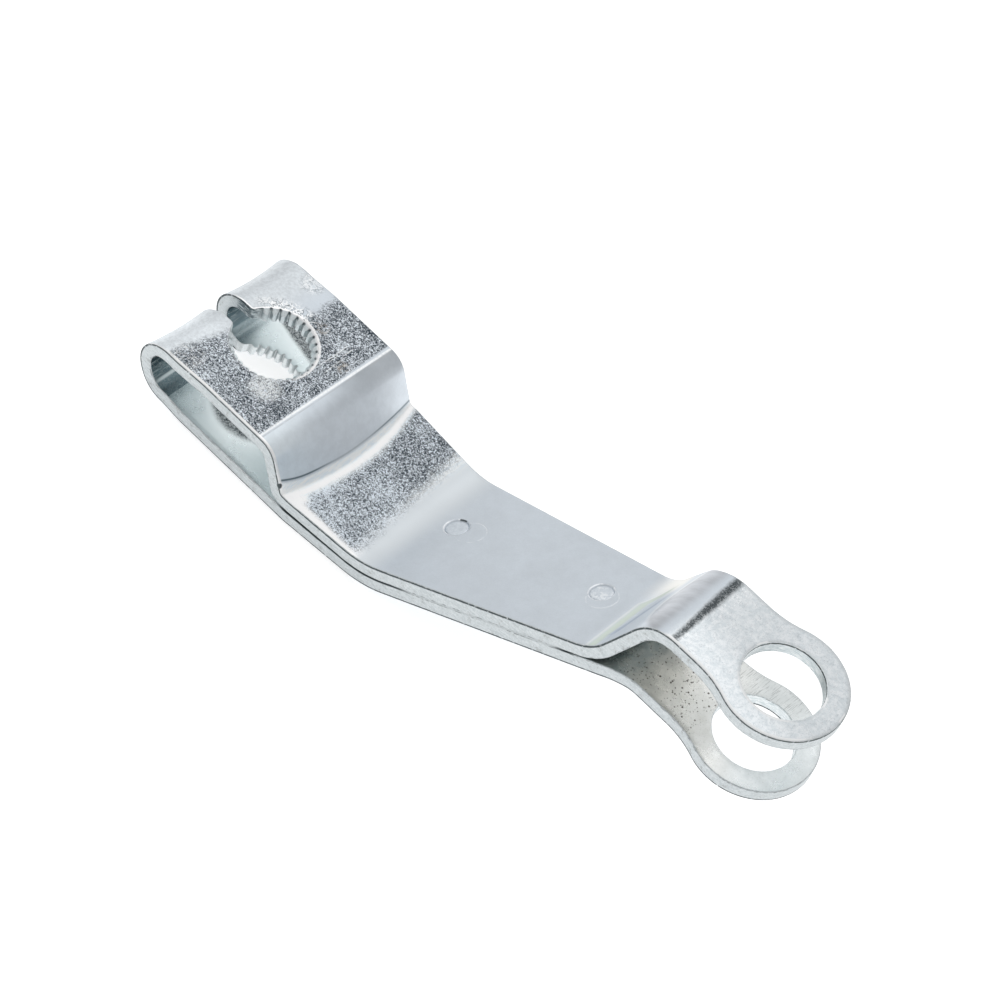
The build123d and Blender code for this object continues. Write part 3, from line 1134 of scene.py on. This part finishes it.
def inner_zinc():
    """Smoother, bluer plating, warm and pitted on the lower ear, with painted shade in the fold, beside the
    bore and where the leaves part, and a painted highlight where the fold is pinched.
    """
    n = Finish("zinc_inner", (0.9, 0.955, 0.965))
    cloud = n.noise(0.3, 3, 0.6)
    fine = n.noise(5, 4, 0.7)
    n.grain = n.noise(4.2, 5, 0.8).past(0.34, 0.62)
    n.colour = n.shade(n.colour, cloud, 0.3, 0.7, 0.96, 1.02)
    fold_shade_and_highlight(n)
    rough = shade_crescents(n)
    between_leaves(n)
    pits = fork(n)
    # rough holds the crescents of painted shade, which also get a grainy bump here.
    height = fine * 0.3 - pits + n.grain * rough * n.x.past(15, 13) * 0.6
    return n.complete(cloud.past(0.3, 0.7, 0.24, 0.34), height, 0.03)


# Cut edges and welds

def bore_wall(n, in_bore):
    """Teeth of the bore, with painted shade towards the grooves and painted highlights on the tips, black
    painted shade under the bevel and a painted highlight on the bevel.
    """
    y, z = n.y, n.z
    pitches = n.math("ARCTAN2", y, n.x) * (tooth_count / (2 * math.pi))
    from_groove = abs(n.math("FRACT", pitches) - 0.5)
    tone = n.mix(z.past(5, 8.5), (0.86, 0.9, 0.91), (0.74, 0.8, 0.82))
    # Painted shade towards the grooves and painted highlight on the tooth tips.
    shade = from_groove.past(0.1, 0.32, 0.8, 1.06) * n.grain.past(0.3, 0.7, 0.86, 1.1)
    n.paint(in_bore, n.vector_math("SCALE", tone, shade))
    # Black painted shade in the grooves just under the bevel.
    groove_shade = (from_groove - z.past(8.8, 10.3, 0, 0.15)).past(0.07, -0.04)
    groove_shade = groove_shade * z.past(10.44, 10.36) * y.past(-1.5, 1.5) * z.past(9.6, 10.15, 0.12, 0.95)
    n.paint(groove_shade * n.grain.past(0.36, 0.52, 0.35, 1) * in_bore, (0.04, 0.06, 0.07))
    # Painted highlight on the bevel.
    bevel = in_bore * z.past(10.26, 10.38) * y.past(-2, 0.5, 0.3, 1)
    n.paint(bevel * 0.95, (0.98, 0.99, 1))


def slot_and_eyes(n):
    """Streaks at the slot's far corner, and the light walls of the eyes."""
    slot_corner_side = n.x.band(-6.9, 1.2, 0.8) * n.y.past(0.5, 1.5) * n.z.past(5, 8)
    corner_tone = n.mix(n.streak.past(0.46, 0.6), (0.1, 0.14, 0.16), (0.66, 0.72, 0.74))
    n.paint(slot_corner_side * 0.9, corner_tone)
    eye_tone = n.mix(n.streak.past(0.4, 0.62), (0.62, 0.69, 0.71), (0.88, 0.91, 0.92))
    n.paint(n.from_axis(eye_x).past(eye_hole_radius + 0.4, eye_hole_radius + 0.2), eye_tone)


def edge_lines(n, outside):
    """A broken line of painted shadow under the burr, a painted highlight on the rolled rim, a fine foot line
    and painted shade in the gap between the leaves. Gives the first.
    """
    x, through = n.x, n.attribute("through")
    broken = n.noise(1.6, 4, 0.75).past(0.33, 0.44)
    wavy = n.noise(0.9, 3, 0.7) * 0.12 - 0.06
    # Painted shadow under the burr, which is also a groove in the bump.
    burr_shadow_line = (through + wavy).band(0.82, 0.1, 0.05) * broken * outside
    n.paint(burr_shadow_line * 0.96, near_black)
    # Painted highlight on the rolled rim of the near edge.
    rolled_rim_highlight = through.past(0.9, 0.96) * n.y.past(-3, -6) * outside
    rolled_rim_highlight = rolled_rim_highlight * n.attribute("along").past(0, 1) * (1 - x.band(45, 25, 1.5))
    n.paint(rolled_rim_highlight * 0.65, (0.95, 0.96, 0.97))
    foot_line = through.band(-0.86, 0.03, 0.08) * n.noise(1, 4, 0.7).past(0.48, 0.6) * outside
    n.paint(foot_line * 0.6, near_black)
    # Painted shade in the gap between the leaves, fainter where plating closes it.
    lying = x.past(15.5, 17) * x.past(62.5, 61)
    closed = x.past(35.5, 39.5) * x.past(61, 58)
    n.paint(through.past(-0.82, -0.9) * lying * closed.past(0, 1, 0.95, 0.15), near_black)
    return burr_shadow_line


def cut_edge():
    """Sheared edges and drilled walls, grey and grained along the cut, with a line of painted shadow under
    the burr, painted shade in the bore's grooves and painted highlights on rims.
    """
    n = Finish("zinc_cut", satin)
    n.grain = n.noise(4, 4, 0.7)
    n.streak = n.noise(1.6, 3, 0.6, squeeze=(0.6, 1, 5))
    level = n.grain * 0.55 + n.streak * 0.45
    n.colour = n.mix(level.past(0.34, 0.66), (0.47, 0.515, 0.53), (0.7, 0.735, 0.75))
    nicks = n.noise(0.8, 5, 0.8).past(0.54, 0.64) * n.grain.past(0.44, 0.54)
    n.paint(nicks * 0.6, (0.24, 0.25, 0.24))
    in_bore = n.from_axis(0).past(7, 6.5)
    bore_wall(n, in_bore)
    slot_and_eyes(n)
    burr_shadow_line = edge_lines(n, 1 - in_bore)
    # Painted shade: a black dot where the crease at the step's foot runs out over the near edge.
    n.paint(n.distance(crease_end_place).past(0.5, 0.3) * 0.95, near_black)
    return n.complete(n.grain.past(0.3, 0.7, 0.36, 0.48), level * 0.8 - burr_shadow_line * 0.6, 0.03)


def weld_metal():
    """Floor of a weld: the same zinc over metal that the electrode pressed, rougher on the rear weld."""
    n = Finish("zinc_weld", satin)
    mottle = n.noise(2.4, 4, 0.7)
    n.colour = n.mix(mottle.past(0.32, 0.68), (0.57, 0.62, 0.67), (0.68, 0.73, 0.78))
    rough = n.x.past(40, 50) * n.noise(1.3, 5, 0.75).past(0.5, 0.58)
    n.paint(rough * 0.6, (0.9, 0.93, 0.95))
    return n.complete(mottle.past(0.3, 0.7, 0.34, 0.44), mottle, 0.03)


# The three pieces

folded_strip = bent_piece("folded_strip_sheet", strip_blank(), [outer_zinc(), inner_zinc(), cut_edge()])
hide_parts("folded_strip")
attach(folded_strip, "root")

weld_finish = weld_metal()
for node, centre in zip(("front_weld", "rear_weld"), weld_centres):
    button = bent_piece(node + "_button", button_blank(centre), [weld_finish])
    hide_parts(node)
    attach(button, "root")


# Floor and light

floor_colour = (0.9, 0.9, 0.9)
floor_glow = 0.55
floor_size = 4.0
floor_drop = 0.00005
room_light = 0.62
ceiling_light = 0.98
ceiling_edge = 0.4
ceiling_direction = (-0.45, 0.50, 0.74)


def floor_material():
    """Plain white floor. Seen directly or reflected it is white, and it keeps the arm's soft shadow."""
    material = bpy.data.materials.new("floor")
    n = Nodes(material)
    shader = n.tree.nodes["Principled BSDF"]
    n.put(floor_colour, shader.inputs["Base Color"])
    n.put(1.0, shader.inputs["Roughness"])
    n.put(0.0, shader.inputs["Specular IOR Level"])
    n.put(white, shader.inputs["Emission Color"])
    rays = n.node("ShaderNodeLightPath").outputs
    seen = Value(n, rays["Is Camera Ray"])
    for kind in ("Is Glossy Ray", "Is Transmission Ray"):
        seen = seen.at_least(rays[kind])
    n.put(seen * floor_glow, shader.inputs["Emission Strength"])
    return material


def studio_world():
    """Soft light from all round, with a wide bright patch of ceiling over the back of the arm."""
    world = bpy.data.worlds.new("studio")
    n = Nodes(world)
    background = n.tree.nodes["Background"]
    n.put(white, background.inputs["Color"])
    direction = n.node("ShaderNodeTexCoord").outputs["Generated"]
    toward = n.vector_math("DOT_PRODUCT", direction, Vector(ceiling_direction).normalized())
    n.put(toward.past(ceiling_edge, 1.0, room_light, ceiling_light), background.inputs["Strength"])
    bpy.context.scene.world = world


def aimed(name, data, place, aim, roll=0.0):
    """Puts a lamp or camera in its place and turns it to its aim."""
    thing = bpy.data.objects.new(name, data)
    thing.location = place
    thing.rotation_mode = "QUATERNION"
    level = (aim - place).to_track_quat("-Z", "Y")
    thing.rotation_quaternion = level @ Quaternion((0, 0, 1), math.radians(roll))
    bpy.context.scene.collection.objects.link(thing)
    return thing


bpy.ops.mesh.primitive_plane_add(size=floor_size, location=(0, 0, cad_box[0].z - floor_drop))
floor = bpy.context.object
floor.name = "floor"
floor.data.materials.append(floor_material())
studio_world()

# One wide, soft lamp over the back of the clamp
key = bpy.data.lights.new("key", "AREA")
key.shape = "DISK"
key.size = 0.80
key.energy = 0.35
aimed("key", key, Vector((-0.35, 0.40, 0.80)), (cad_box[0] + cad_box[1]) / 2)


# Camera, at the place from which the arm was photographed
camera_place = Vector((185.26, -324.87, 471.73)) * MM
camera_aim = Vector((39.70, 0.0, 19.85)) * MM
camera_roll = 23.914
camera_lens = 158.94

camera_data = bpy.data.cameras.new("camera")
camera_data.lens = camera_lens
camera_data.sensor_width = 36.0
camera_data.clip_start = 0.05
camera_data.clip_end = 10.0
bpy.context.scene.camera = aimed("camera", camera_data, camera_place, camera_aim, camera_roll)
bpy.context.scene.view_settings.view_transform = "Standard"
